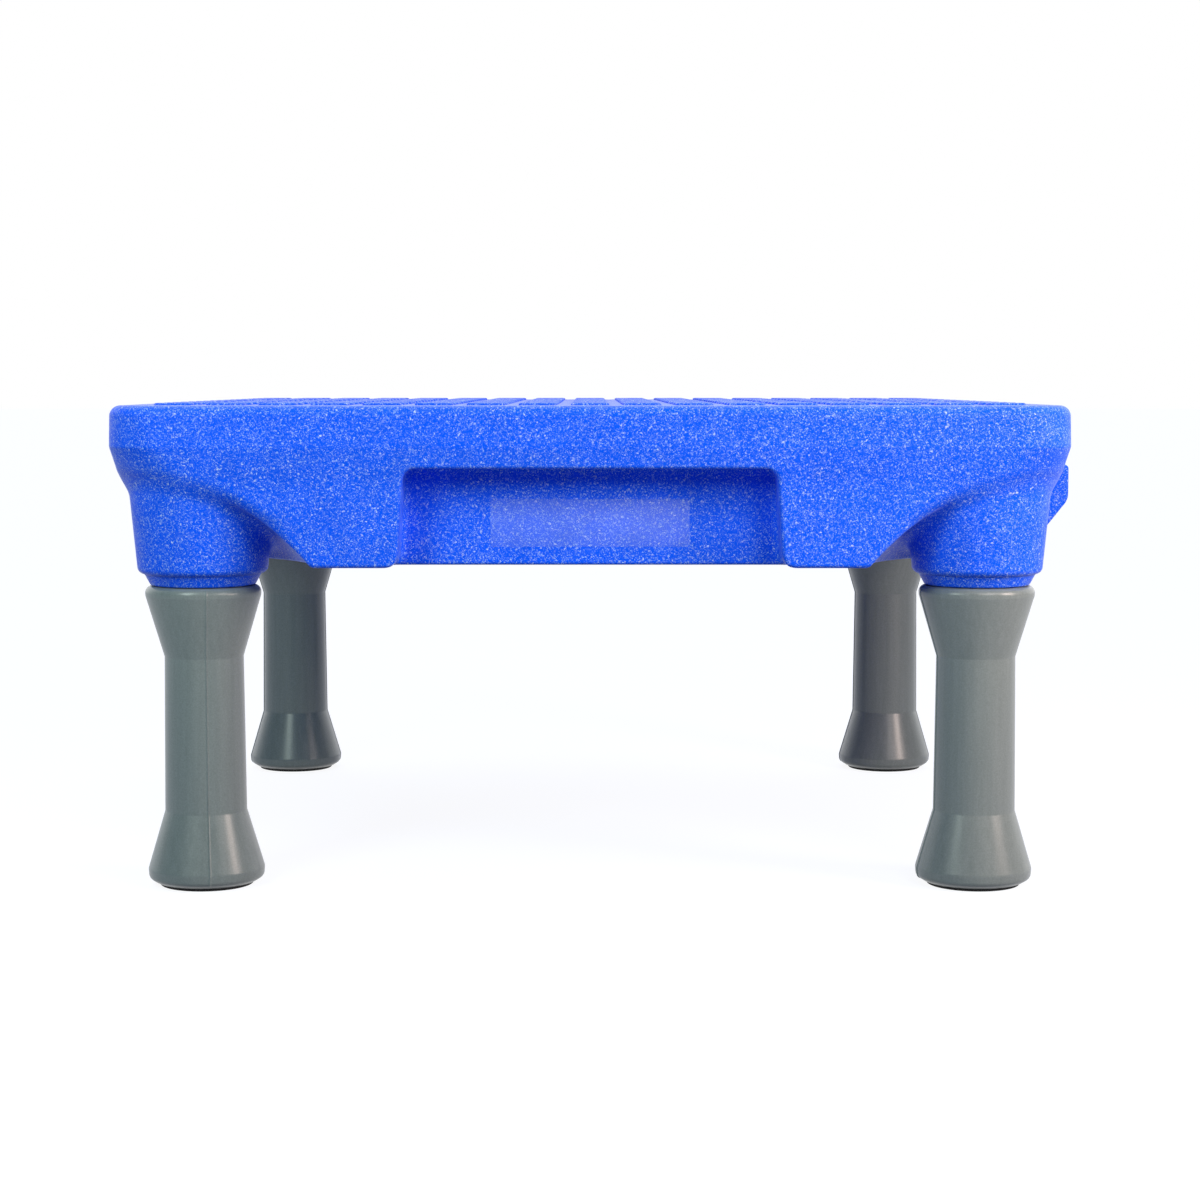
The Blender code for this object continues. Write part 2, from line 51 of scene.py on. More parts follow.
MM = 0.001
DECK_MIDDLE = -14.85 * MM
DECK_HALF = 304.8 * MM
SKIN_TOP = 310.2 * MM
SKIRT_FOOT = 208.9 * MM
SOCKET_MOUTH = 195.0 * MM
LEG_SHOULDER = 194.7 * MM
LEG_OFF_MIDDLE = 249.3 * MM
RECESS_DEPTH = 35.0 * MM
RECESS_HEAD = 271.0 * MM
THREAD_LEAD = 10.0 * MM
THREAD_DEPTH = 3.0 * MM
THREAD_START = 3.55 * MM
NECK_RADIUS = 23.5 * MM


def round_and(first, second, radius):
    """What two shapes share, its edge rounded to a radius.

    Each shape is given by how far outside it a point is. The result is the larger distance, and
    near the edge the distance to a circle that touches both faces.
    """
    corner = np.hypot(np.maximum(first + radius, 0), np.maximum(second + radius, 0))
    return np.minimum(np.maximum(first, second), -radius) + corner


def round_or(first, second, radius):
    """Two shapes joined, with a hollow fillet of a radius where they meet."""
    return -round_and(-first, -second, radius)


def recess_distance(along, outward, z):
    """How far a point is outside the air of a mating recess, whose cheeks open downwards.

    The air is what lies between the cheeks, below the head and in front of the back wall. Each
    cheek turns outwards in a large round at the skirt's foot.
    """
    cheek_round, head_round, back_round = 11.0 * MM, 7.5 * MM, 4.0 * MM
    half_width = np.interp(z, (SKIRT_FOOT, RECESS_HEAD), (120.7 * MM, 116.7 * MM))
    below_skirt = SKIRT_FOOT - 2.0 * MM - z
    cheek = round_and(half_width - np.abs(along), below_skirt, cheek_round)
    opening = round_and(-cheek, z - RECESS_HEAD, head_round)
    opening = round_and(opening, DECK_HALF - RECESS_DEPTH - outward, back_round)
    air_end = 140.0 * MM
    return np.maximum(opening, np.abs(along) - air_end)


def tab_distance(along, outward, z):
    """How far a point is outside a mating tab, a block whose underside slants back to the skirt."""
    half_width, reach, sunk = 110.0 * MM, 29.7 * MM, 12.0 * MM
    foot, nose_foot, head = 209.9 * MM, 243.2 * MM, 267.5 * MM
    edge_round, under_round = 3.0 * MM, 2.5 * MM
    slant = np.radians(38.4)
    nose = outward - DECK_HALF - reach
    under = nose * np.cos(slant) - (z - nose_foot) * np.sin(slant)
    tab = round_and(round_and(z - head, nose, edge_round), under, under_round)
    tab = round_and(tab, np.abs(along) - half_width, edge_round)
    root = DECK_HALF - sunk - outward
    return np.maximum(np.maximum(tab, root), foot - z)


def socket_distance(x, y, z, reach):
    """How far a point is outside the air of a leg's socket, a bore with a helical groove.

    The groove's depth falls off on both sides of a helix that climbs one lead a turn.
    """
    clearance, socket_top = 0.5 * MM, 221.7 * MM
    groove_half, flank = 3.0 * MM, 1.4 * MM
    turn = np.arctan2(y - np.sign(y) * LEG_OFF_MIDDLE, x - np.sign(x) * LEG_OFF_MIDDLE) / (2 * np.pi)
    climb = (z - LEG_SHOULDER - THREAD_START) / THREAD_LEAD - turn
    off_helix = np.abs(climb - np.round(climb)) * THREAD_LEAD
    groove = (THREAD_DEPTH + clearance) * np.clip((groove_half - off_helix) / flank, 0, 1)
    return np.maximum(reach - NECK_RADIUS - clearance - groove, z - socket_top)


def deck_distance(x, y, z):
    """How far a point is outside the deck's skin, measured from the deck's middle axis.

    The body is a square with round corners, whose half width and corner radius change with height.
    A dome is taken from each corner, its crown above the corner itself and its drop a power of the
    distance from there. The bosses stand in the domes, and rings, recesses, tabs, kiss-offs and
    sockets follow, each blended into the last with its own radius.
    """
    rim_round, foot_round = 7.0 * MM, 2.5 * MM
    heights = (SKIRT_FOOT, 258.2 * MM, 264.2 * MM, 271.2 * MM, 284.2 * MM, 303.0 * MM)
    half = np.interp(z, heights, np.array([300.3, 301.0, 301.6, 302.9, 304.8, 304.4]) * MM)
    corner = np.interp(z, heights, np.array([57.0, 55.0, 53.0, 49.0, 38.0, 38.0]) * MM)
    across = np.abs(x) - half + corner
    along = np.abs(y) - half + corner
    outline = np.hypot(np.maximum(across, 0), np.maximum(along, 0)) - corner
    outline = outline + np.minimum(np.maximum(across, along), 0)
    skin = round_and(outline, z - SKIN_TOP, rim_round)
    skin = round_and(skin, SKIRT_FOOT - z, foot_round)

    # Domes, whose lips are soft near the crown and crisp at the skirt's foot
    crown, rise, mouth, power = 300.3 * MM, 54.6 * MM, 126.0 * MM, 2.63
    spread = np.hypot(np.abs(x) - crown, np.abs(y) - crown) / mouth
    dome = z - SKIRT_FOOT - rise * (1 - spread**power)
    dome = dome / np.hypot(1, power * rise / mouth * spread ** (power - 1))
    lip = np.interp(z, (212.0 * MM, 224.0 * MM, 238.0 * MM), (1.2 * MM, 3.5 * MM, 9.0 * MM))
    skin = round_and(skin, -dome, lip)

    # Bosses, cones that widen upwards and end inside the deck
    boss_foot, boss_head = SOCKET_MOUTH + 7.4 * MM, 275.0 * MM
    boss_round, boss_fillet = 4.6 * MM, 9.0 * MM
    reach = np.hypot(np.abs(x) - LEG_OFF_MIDDLE, np.abs(y) - LEG_OFF_MIDDLE)
    boss_radius = np.interp(z, (207.0 * MM, 257.5 * MM), (41.8 * MM, 46.5 * MM))
    boss = round_and(reach - boss_radius, boss_foot - z, boss_round)
    boss = np.maximum(boss, z - boss_head)
    skin = round_or(skin, boss, boss_fillet)

    # The ring below each boss that the leg's shoulder meets, and the socket within it
    ring_head, ring_round, ring_fillet = 215.0 * MM, 0.8 * MM, 0.6 * MM
    ring_radius = np.interp(z, (SOCKET_MOUTH, boss_foot), (33.5 * MM, 37.4 * MM))
    ring = round_and(reach - ring_radius, SOCKET_MOUTH - z, ring_round)
    ring = np.maximum(ring, z - ring_head)
    skin = round_or(skin, ring, ring_fillet)
    skin = round_and(skin, -socket_distance(x, y, z, reach), ring_fillet)

    # Recesses at the front and left, tabs at the right and rear
    recess_edge, tab_fillet = 2.0 * MM, 1.2 * MM
    skin = round_and(skin, -recess_distance(x, -y, z), recess_edge)
    skin = round_and(skin, -recess_distance(y, -x, z), recess_edge)
    skin = round_or(skin, tab_distance(y, x, z), tab_fillet)
    skin = round_or(skin, tab_distance(x, y, z), tab_fillet)

    # Kiss-offs, the hollow cones that hold the underside to the top
    kiss_off_middle, kiss_head = 120.0 * MM, 302.0 * MM
    kiss_head_round, kiss_edge = 4.0 * MM, 3.0 * MM
    off_kiss = np.hypot(np.abs(x) - kiss_off_middle, np.abs(y) - kiss_off_middle)
    kiss_radius = np.interp(z, (SKIRT_FOOT, kiss_head), (30.0 * MM, 14.0 * MM))
    kiss = np.minimum(np.hypot(x, y), off_kiss) - kiss_radius
    return round_and(skin, -round_and(kiss, z - kiss_head, kiss_head_round), kiss_edge)


def grid_lines(start, *stretches):
    """Places of grid lines along one axis: stretches that end at a place, with a spacing each."""
    lines = [np.array([start])]
    for end, spacing in stretches:
        begin = lines[-1][-1]
        lines.append(np.linspace(begin, end, max(2, round((end - begin) / spacing) + 1))[1:])
    return np.concatenate(lines) * MM


def slope_at(distance, points):
    """A distance formula's slope at points, from its change over a short step each way."""
    step = 0.02 * MM
    slope = np.empty_like(points)
    for axis in range(3):
        shift = np.zeros(3)
        shift[axis] = step
        ahead = distance(*(points + shift).T)
        slope[:, axis] = (ahead - distance(*(points - shift).T)) / (2 * step)
    return slope


def settled(distance, points):
    """Points moved along a distance formula's slope until their distance is nothing."""
    for _ in range(4):
        slope = slope_at(distance, points)
        steepness = np.maximum((slope**2).sum(axis=1), 0.25)
        points = points - slope * (distance(*points.T) / steepness)[:, None]
    return points


def net_round(distance, xs, ys, zs):
    """Points and quads of a closed net round a shape that a distance formula gives.

    The formula is worked out where the grid lines cross. Each cell that the surface runs through
    gets a point, the mean of where its edges cross the surface, then moved along the slope until
    the distance is nothing. Each grid edge that crosses gets the quad between its cells' points.
    """
    values = distance(xs[:, None, None], ys[None, :, None], zs[None, None, :])
    solid = (values < 0).astype(np.int8)
    filled = sum(
        solid[dx : len(xs) - 1 + dx, dy : len(ys) - 1 + dy, dz : len(zs) - 1 + dz]
        for dx in (0, 1) for dy in (0, 1) for dz in (0, 1)
    )
    cut = (filled > 0) & (filled < 8)
    cells = np.argwhere(cut)
    number = np.full(cut.shape, -1)
    number[cut] = np.arange(len(cells))

    lines = (xs, ys, zs)
    total = np.zeros((len(cells), 3))
    count = np.zeros((len(cells), 1))
    quads = []
    for axis in range(3):
        u, v = (axis + 1) % 3, (axis + 2) % 3
        for step_u, step_v in ((0, 0), (1, 0), (0, 1), (1, 1)):
            low = cells.copy()
            low[:, u] += step_u
            low[:, v] += step_v
            high = low.copy()
            high[:, axis] += 1
            begin, end = values[tuple(low.T)], values[tuple(high.T)]
            crosses = (begin < 0) != (end < 0)
            share = np.where(crosses, begin / np.where(crosses, begin - end, 1), 0)
            place = np.stack([lines[k][low[:, k]] for k in range(3)], axis=1)
            place[:, axis] += share * (lines[axis][high[:, axis]] - lines[axis][low[:, axis]])
            total += place * crosses[:, None]
            count += crosses[:, None]
        change = np.diff(solid, axis=axis)
        edges = np.argwhere(change)
        ring = []
        for back_u, back_v in ((1, 1), (0, 1), (0, 0), (1, 0)):
            cell = edges.copy()
            cell[:, u] -= back_u
            cell[:, v] -= back_v
            ring.append(number[tuple(cell.T)])
        quad = np.stack(ring, axis=1)
        inward = change[tuple(edges.T)] > 0
        quad[inward] = quad[inward, ::-1]
        quads.append(quad)

    return settled(distance, total / count), np.concatenate(quads)


def linear(colour):
    """A colour written as sRGB hex, as the linear RGBA that a shader takes."""
    parts = np.array([int(colour[i : i + 2], 16) for i in (1, 3, 5)]) / 255
    curve = np.where(parts <= 0.04045, parts / 12.92, ((parts + 0.055) / 1.055) ** 2.4)
    return (*curve, 1.0)


def add_node(material, kind, links=None, **settings):
    """Adds a node with its settings. Links give each input, by name or place, a value or a socket."""
    node = material.node_tree.nodes.new(kind)
    for name, value in settings.items():
        setattr(node, name, value)
    for name, value in (links or {}).items():
        if isinstance(value, bpy.types.NodeSocket):
            material.node_tree.links.new(value, node.inputs[name])
        else:
            node.inputs[name].default_value = value
    return node


def new_material(name, links):
    """A material with one Principled shader, and that shader with its inputs set by name."""
    material = bpy.data.materials.new(name)
    material.use_nodes = True
    shader = material.node_tree.nodes["Principled BSDF"]
    for socket, value in links.items():
        shader.inputs[socket].default_value = value
    return material, shader


def speckled_polyethylene():
    """Rotomoulded polyethylene, from blue powder with white and pale blue granules.

    To the eye: a strong blue, mottled all over by pale granules about half a millimetre across,
    most of them faint, with fewer near-white flecks of 1 mm that are smeared at all angles. The
    surface has the faint orange peel of the mould and a broad soft sheen.
    """
    material, shader = new_material(
        "speckled blue polyethylene",
        {
            "Roughness": 0.45, "IOR": 1.51, "Specular IOR Level": 0.1,
            "Sheen Weight": 0.1, "Sheen Roughness": 0.3,
        },
    )
    place = add_node(material, "ShaderNodeTexCoord").outputs["Object"]

    # Granules smear as they melt, so the pattern is pulled about by a noise 2.2 mm across
    smear = add_node(
        material, "ShaderNodeTexNoise", {"Vector": place, "Scale": 1 / (2.2 * MM), "Detail": 1.0}
    )
    centred = add_node(
        material, "ShaderNodeVectorMath", {0: smear.outputs["Color"], 1: (0.5, 0.5, 0.5)},
        operation="SUBTRACT",
    )
    pulled = add_node(
        material, "ShaderNodeVectorMath",
        {0: centred.outputs["Vector"], 1: (2.4 * MM, 2.4 * MM, 2.4 * MM), 2: place},
        operation="MULTIPLY_ADD",
    ).outputs["Vector"]

    # Two kinds of granule: how far apart they lie, how rare a pale one is, how much the palest
    # covers and its colour. Towards its rim a granule covers about a third as much
    colour = linear("#005cff")
    for spacing, rarity, most, tint in (
        (0.6 * MM, 5.4, 1.0, "#bcdfff"),
        (1.0 * MM, 26.0, 0.95, "#dcecff"),
    ):
        granule = add_node(
            material, "ShaderNodeTexVoronoi", {"Vector": pulled, "Scale": 1 / spacing}
        )
        chance = add_node(material, "ShaderNodeSeparateColor", {0: granule.outputs["Color"]})
        paleness = add_node(
            material, "ShaderNodeMath", {0: chance.outputs[0], 1: rarity}, operation="POWER"
        )
        core = add_node(
            material, "ShaderNodeMapRange",
            {"Value": granule.outputs["Distance"], "From Min": 0.25, "From Max": 0.6,
             "To Min": most, "To Max": 0.35 * most},
        )
        cover = add_node(
            material, "ShaderNodeMath",
            {0: paleness.outputs[0], 1: core.outputs["Result"]}, operation="MULTIPLY",
        )
        blend = add_node(
            material, "ShaderNodeMix",
            {"Factor": cover.outputs[0], 6: colour, 7: linear(tint)}, data_type="RGBA",
        )
        colour = blend.outputs[2]

    # The powder mixes unevenly, in clouds about 20 mm across
    cloud = add_node(
        material, "ShaderNodeTexNoise", {"Vector": place, "Scale": 1 / (20 * MM), "Detail": 2.0}
    )
    tone = add_node(
        material, "ShaderNodeMapRange",
        {"Value": cloud.outputs["Fac"], "From Min": 0.3, "From Max": 0.7, "To Min": 0.95, "To Max": 1.04},
    )
    clouded = add_node(
        material, "ShaderNodeHueSaturation", {"Value": tone.outputs["Result"], "Color": colour}
    )
    material.node_tree.links.new(clouded.outputs["Color"], shader.inputs["Base Color"])

    # Orange peel, bumps about 1.6 mm apart
    peel = add_node(
        material, "ShaderNodeTexNoise", {"Vector": place, "Scale": 1 / (1.6 * MM), "Detail": 2.0}
    )
    bump = add_node(
        material, "ShaderNodeBump",
        {"Height": peel.outputs["Fac"], "Strength": 0.35, "Distance": 0.12 * MM},
    )
    material.node_tree.links.new(bump.outputs["Normal"], shader.inputs["Normal"])
    return material


def new_piece(name, points, faces, material, body, slot, *nodes):
    """A mesh piece of points and faces that rides a body and stands for CAD nodes."""
    mesh = bpy.data.meshes.new(name)
    mesh.from_pydata(np.asarray(points).tolist(), [], faces)
    mesh.shade_smooth()
    mesh.materials.append(material)
    piece = bpy.data.objects.new(name, mesh)
    bpy.context.scene.collection.objects.link(piece)
    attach(piece, body)
    if nodes:
        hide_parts(*nodes)
    return piece


# Grid lines of the net, in millimetres: across the deck both ways, and up it. They lie close
# together where the shape turns sharply
SIDE_LINES = grid_lines(
    -312.0, (-296.0, 1.4), (-264.0, 2.0), (-152.0, 2.8), (-134.0, 3.0), (-106.0, 1.6), (-88.0, 3.0),
    (-32.0, 8.0), (32.0, 3.6), (88.0, 8.0), (106.0, 3.0), (114.0, 1.3), (152.0, 3.0), (264.0, 2.8),
    (296.0, 2.0), (308.0, 1.4), (330.0, 2.2), (341.0, 1.2),
)
LEVEL_LINES = grid_lines(
    191.0, (205.0, 0.8), (215.0, 1.0), (225.0, 1.6), (254.0, 2.4), (274.0, 1.3), (288.0, 2.0),
    (300.0, 4.0), (312.0, 0.9),
)


def one_flat_top(points, quads):
    """The net's faces with one face for the whole flat top, whose rim is in order of its angle."""
    tolerance = 0.001 * MM
    flat = (points[quads, 2] > SKIN_TOP - tolerance).all(axis=1)
    rim = np.intersect1d(quads[flat], quads[~flat])
    turn = np.arctan2(points[rim, 1], points[rim, 0])
    faces = quads[~flat]
    used = np.unique(faces)
    number = np.zeros(len(points), int)
    number[used] = np.arange(len(used))
    return points[used], number[faces].tolist() + [number[rim[np.argsort(turn)]].tolist()]


speckled_blue = speckled_polyethylene()
deck_points, deck_faces = one_flat_top(*net_round(deck_distance, SIDE_LINES, SIDE_LINES, LEVEL_LINES))
deck = new_piece("deck_moulding", deck_points, deck_faces, speckled_blue, "deck", "deck_blue", "deck")

# The net is thinned where it is flat or straight, and what is left of it is settled once more
thin = deck.modifiers.new("thin", "DECIMATE")
thin.ratio = 0.56
deck.data = bpy.data.meshes.new_from_object(deck.evaluated_get(bpy.context.evaluated_depsgraph_get()))
deck.modifiers.clear()
deck_points = np.empty(len(deck.data.vertices) * 3, np.float32)
deck.data.vertices.foreach_get("co", deck_points)
deck_points = settled(deck_distance, deck_points.reshape(-1, 3).astype(float))
deck_slopes = slope_at(deck_distance, deck_points)
deck_slopes /= np.linalg.norm(deck_slopes, axis=1)[:, None]
deck_points[:, :2] += DECK_MIDDLE
deck.data.vertices.foreach_set("co", deck_points.astype(np.float32).ravel())
deck.data.normals_split_custom_set_from_vertices(deck_slopes.tolist())
deck.data.update()

# Treads
#
# The top is covered with low bars, moulded with it, that give paws a grip. They stand in 17 rows
# of 17, all alike, and come out of the mould with soft edges.


def rounded_rings(half_width, half_height, corner, insets, steps):
    """Rings round a rectangle with round corners, one for each inset: how far across and how far up.

    A point's angle gives the corner and the turn within it, in so many steps to a corner, and the
    inset comes off the corner's radius.
    """
    quarter = np.repeat(np.arange(4), steps + 1)
    angle = np.radians(quarter * 90 + np.tile(np.linspace(0, 90, steps + 1), 4))
    diagonal = np.radians(quarter * 90 + 45)
    radius = corner - insets[:, None]
    across = (half_width - corner) * np.sign(np.cos(diagonal)) + radius * np.cos(angle)
    up = (half_height - corner) * np.sign(np.sin(diagonal)) + radius * np.sin(angle)
    return across, up


def walls_between(rings, around):
    """Quads from each ring of points to the next, for so many rings with so many points around."""
    here = np.arange(around)
    ahead = (here + 1) % around
    level = (around * np.arange(rings - 1))[:, None]
    quads = [level + here, level + ahead, level + around + ahead, level + around + here]
    return np.stack(quads, axis=2).reshape(-1, 4)


def tread_bars():
    """Every bar as one mesh: a ring round a bar at rising heights, drawn in towards its top."""
    count, pitch = 17, 33.0 * MM
    half_x, half_y, corner = 12.3 * MM, 6.3 * MM, 2.6 * MM
    rises = np.array([-0.6, 0.7, 1.2, 1.5]) * MM
    insets = np.array([0.0, 0.15, 0.5, 1.3]) * MM
    ring_x, ring_y = rounded_rings(half_x, half_y, corner, insets, 2)
    ring_z = np.broadcast_to(SKIN_TOP + rises[:, None], ring_x.shape)
    bar = np.stack([ring_x, ring_y, ring_z], axis=2).reshape(-1, 3)
    spots = (np.arange(count) - (count - 1) / 2) * pitch + DECK_MIDDLE
    columns, rows = np.meshgrid(spots, spots)
    shifts = np.stack([columns.ravel(), rows.ravel(), np.zeros(count * count)], axis=1)
    points = (shifts[:, None, :] + bar[None, :, :]).reshape(-1, 3)

    rings, around = ring_x.shape
    starts = np.arange(count * count) * len(bar)
    faces = (starts[:, None, None] + walls_between(rings, around)).reshape(-1, 4).tolist()
    faces += (starts[:, None] + np.arange(around)[::-1]).tolist()
    faces += (starts[:, None] + around * (rings - 1) + np.arange(around)).tolist()
    return points, faces


new_piece("deck_treads", *tread_bars(), speckled_blue, "deck", "deck_blue")

# Vent plug
#
# Air leaves the mould through a small hole in the underside. A soft polyethylene plug with a low
# domed head closes it after moulding.


def turned(outline, angles, swell=None):
    """A body turned about an upright axis: an outline of (radius, height) carried round by angles.

    Swell gives each point of the outline at each angle a length to stand out by. The first and
    last points of the outline lie on the axis, and each is one point where the skin closes.
    """
    radii = outline[:, 0][:, None] + (0 if swell is None else swell)
    radii = np.broadcast_to(radii, (len(outline), len(angles)))
    heights = np.broadcast_to(outline[:, 1][:, None], radii.shape)
    points = np.stack([radii * np.cos(angles), radii * np.sin(angles), heights], axis=2)
    skin = points[1:-1].reshape(-1, 3)
    poles = [(0.0, 0.0, outline[0, 1]), (0.0, 0.0, outline[-1, 1])]
    rings, around = len(outline) - 2, len(angles)
    here = np.arange(around)
    ahead = (here + 1) % around
    last = around * (rings - 1)
    first_pole = np.full(around, len(skin))
    low_fan = np.stack([first_pole, ahead, here], axis=1)
    high_fan = np.stack([first_pole + 1, last + here, last + ahead], axis=1)
    faces = walls_between(rings, around).tolist() + low_fan.tolist() + high_fan.tolist()
    return np.concatenate([skin, poles]), faces


def arc(centre, radius, start, end, steps):
    """Points of an arc about a centre between two angles in degrees."""
    turn = np.radians(np.linspace(start, end, steps + 1))
    return np.stack([centre[0] + radius * np.cos(turn), centre[1] + radius * np.sin(turn)], axis=1)


def plain_polyethylene():
    """Injection-moulded polyethylene with no granules: a deep, nearly even blue with a soft gloss."""
    material, shader = new_material(
        "blue plug polyethylene", {"Roughness": 0.42, "IOR": 1.51, "Specular IOR Level": 0.4}
    )
    place = add_node(material, "ShaderNodeTexCoord").outputs["Object"]
    grain = add_node(
        material, "ShaderNodeTexNoise", {"Vector": place, "Scale": 1 / (1.5 * MM), "Detail": 2.0}
    )
    shade = add_node(
        material, "ShaderNodeMix",
        {"Factor": grain.outputs["Fac"], 6: linear("#0f34a8"), 7: linear("#1640c2")},
        data_type="RGBA",
    )
    material.node_tree.links.new(shade.outputs[2], shader.inputs["Base Color"])
    return material


# Under the head, over its edge and up the stem, from a height just below the skirt's foot
PLUG_OFF_MIDDLE = 60.0 * MM
PLUG_LEVEL = SKIRT_FOOT - 0.3 * MM
plug_outline = np.array([
    (0.0, -2.1), (2.2, -2.1), (2.8, -1.85), (4.6, -1.75), (6.3, -1.35), (6.9, -0.9),
    (7.0, -0.45), (6.8, 0.2), (3.6, 0.3), (3.6, 6.0), (0.0, 6.0),
]) * MM
plug_points, plug_faces = turned(plug_outline, np.radians(np.arange(0, 360, 7.5)))
plug_points += (DECK_MIDDLE + PLUG_OFF_MIDDLE, DECK_MIDDLE, PLUG_LEVEL)
new_piece(
    "vent_plug_head", plug_points, plug_faces, plain_polyethylene(), "deck", "plug_blue", "vent_plug"
)

# Label
#
# A clear vinyl label with round corners is stuck on the back wall of the front recess. It is left
# bare, so only its faint milky film shows, with the granules of the wall behind it.


def label_film():
    """A thin plate with round corners: a ring just inside the wall and two rings in front of it."""
    half_x, half_z, corner = 63.4 * MM, 15.25 * MM, 2.2 * MM
    middle_z = SKIRT_FOOT + 26.8 * MM
    depths = np.array([0.1, -0.2, -0.28]) * MM
    insets = np.array([0.0, 0.0, 0.08]) * MM
    across, up = rounded_rings(half_x, half_z, corner, insets, 6)
    wall = DECK_MIDDLE - DECK_HALF + RECESS_DEPTH
    y = np.broadcast_to(wall + depths[:, None], across.shape)
    points = np.stack([across + DECK_MIDDLE, y, up + middle_z], axis=2).reshape(-1, 3)

    rings, around = across.shape
    here = np.arange(around)
    caps = [here[::-1].tolist(), (around * (rings - 1) + here).tolist()]
    return points, walls_between(rings, around).tolist() + caps


def milky_vinyl():
    """Matt clear vinyl film over its adhesive: it veils the wall with a faint, bluish milky white."""
    material, shader = new_material(
        "milky vinyl film", {"Roughness": 0.38, "IOR": 1.53, "Alpha": 0.13}
    )
    place = add_node(material, "ShaderNodeTexCoord").outputs["Object"]
    glue = add_node(
        material, "ShaderNodeTexNoise", {"Vector": place, "Scale": 1 / (6 * MM), "Detail": 3.0}
    )
    shade = add_node(
        material, "ShaderNodeMix",
        {"Factor": glue.outputs["Fac"], 6: linear("#c4dcf6"), 7: linear("#dcedff")},
        data_type="RGBA",
    )
    material.node_tree.links.new(shade.outputs[2], shader.inputs["Base Color"])
    return material


new_piece("label_film", *label_film(), milky_vinyl(), "deck", "label_clear", "label_plate")

# Legs
#
# Each leg is a hollow blow moulding in grey polyethylene: a tube of soft plastic is blown out
# against the two halves of a mould. Where the halves met, a thin raised line runs down both sides.
# A coarse thread on its neck screws into the boss, so each leg's line ends up at its own angle.

LEG_FOOT = 2.3 * MM
LEG_LENGTH = 192.4 * MM
NECK_LENGTH = 25.0 * MM


def bend(before, corner, after, radius, steps):
    """An arc of a radius that rounds the corner between two straight lines of an outline."""
    before, corner, after = (np.array(point, float) for point in (before, corner, after))
    one = (before - corner) / np.linalg.norm(before - corner)
    other = (after - corner) / np.linalg.norm(after - corner)
    half_angle = np.arccos(np.clip(one @ other, -1, 1)) / 2
    centre = corner + (one + other) / np.linalg.norm(one + other) * radius / np.sin(half_angle)
    start = corner + one * radius / np.tan(half_angle) - centre
    end = corner + other * radius / np.tan(half_angle) - centre
    turn = np.linspace(0, 1, steps + 1)[:, None]
    between = start * (1 - turn) + end * turn
    return centre + between / np.linalg.norm(between, axis=1)[:, None] * radius


def leg_outline():
    """A leg's closed outline: under the foot, up the outside and the neck, then down the inside.

    Its points are (radius, height) in millimetres. Level is the shoulder's height, and top is the
    neck's.
    """
    foot_edge = (37.5, 8.5)
    flare_top = (26.3, 46.2)
    cone_foot = (25.3, 146.4)
    collar = (37.0, 185.9)
    neck = NECK_RADIUS / MM
    level, top = LEG_LENGTH / MM, (LEG_LENGTH + NECK_LENGTH) / MM
    outline = [
        [(0.0, 1.5), (30.3, 1.5), (30.3, 0.0), (32.4, 0.0)],
        bend((32.4, 0.0), (37.0, 2.8), foot_edge, 4.0, 7),
        bend((37.1, 5.0), foot_edge, flare_top, 5.0, 5),
        bend(foot_edge, flare_top, cone_foot, 3.0, 3),
        np.stack([np.linspace(26.28, 25.32, 12), np.linspace(48.5, 144.0, 12)], axis=1),
        bend(flare_top, cone_foot, collar, 3.0, 3),
        bend(cone_foot, collar, (37.4, level), 3.0, 5),
        bend(collar, (37.4, level), (24.0, level), 4.6, 9),
        bend((31.5, level), (neck, level), (neck, level + 4), 0.6, 3),
        np.stack([np.full(64, neck), np.linspace(level + 0.6, top - 0.6, 64)], axis=1),
        [(22.9, top), (20.6, top), (20.0, top - 0.6), (20.0, level - 3.5), (30.2, level - 3.5)],
        [(33.5, level - 8.7), (21.8, 146.4), (22.8, 46.2), (33.5, 10.5), (28.0, 5.0), (0.0, 5.0)],
    ]
    return np.concatenate([np.array(part, float) for part in outline]) * MM


def thread_rise(heights, angles):
    """How far the neck's thread stands out, for each height above the shoulder and each angle.

    It is highest on a helix that climbs one lead a turn, with sloping flanks, and runs out to
    nothing at both ends.
    """
    ridge_half, flank = 2.45 * MM, 1.2 * MM
    turns = angles / (2 * np.pi)
    climb = (heights[:, None] - THREAD_START) / THREAD_LEAD - turns
    along = np.round(climb) + turns
    off_helix = np.abs(climb - np.round(climb)) * THREAD_LEAD
    last = (NECK_LENGTH - 2 * THREAD_START) / THREAD_LEAD
    run_out = 0.125
    fullness = np.clip(np.minimum(along / run_out, (last - along) / run_out), 0, 1)
    profile = np.clip((ridge_half - off_helix) / flank, 0, 1)
    soft = profile * profile * (3 - 2 * profile)
    return THREAD_DEPTH * soft * fullness


def seam_rise(angles):
    """How far the parting line stands out at each angle: a narrow ridge on two opposite sides.

    The ridge is a bell curve of the angle from the line, as wide as it is on the middle of the leg.
    """
    ridge_height, ridge_reach, tube_radius = 0.6 * MM, 0.38 * MM, 26.0 * MM
    off_seam = np.abs((angles + np.pi / 2) % np.pi - np.pi / 2)
    return ridge_height * np.exp(-((off_seam / (ridge_reach / tube_radius)) ** 2))


def leg_angles():
    """Angles round a leg: even steps, with closer ones across each parting line."""
    even = np.radians(np.arange(3.75, 360, 3.75))
    close = np.radians(np.array([-1.8, -1.2, -0.8, -0.4, 0.0, 0.4, 0.8, 1.2, 1.8]))
    angles = np.concatenate([even, close, close + np.pi]) % (2 * np.pi)
    return np.unique(np.round(angles, 6))


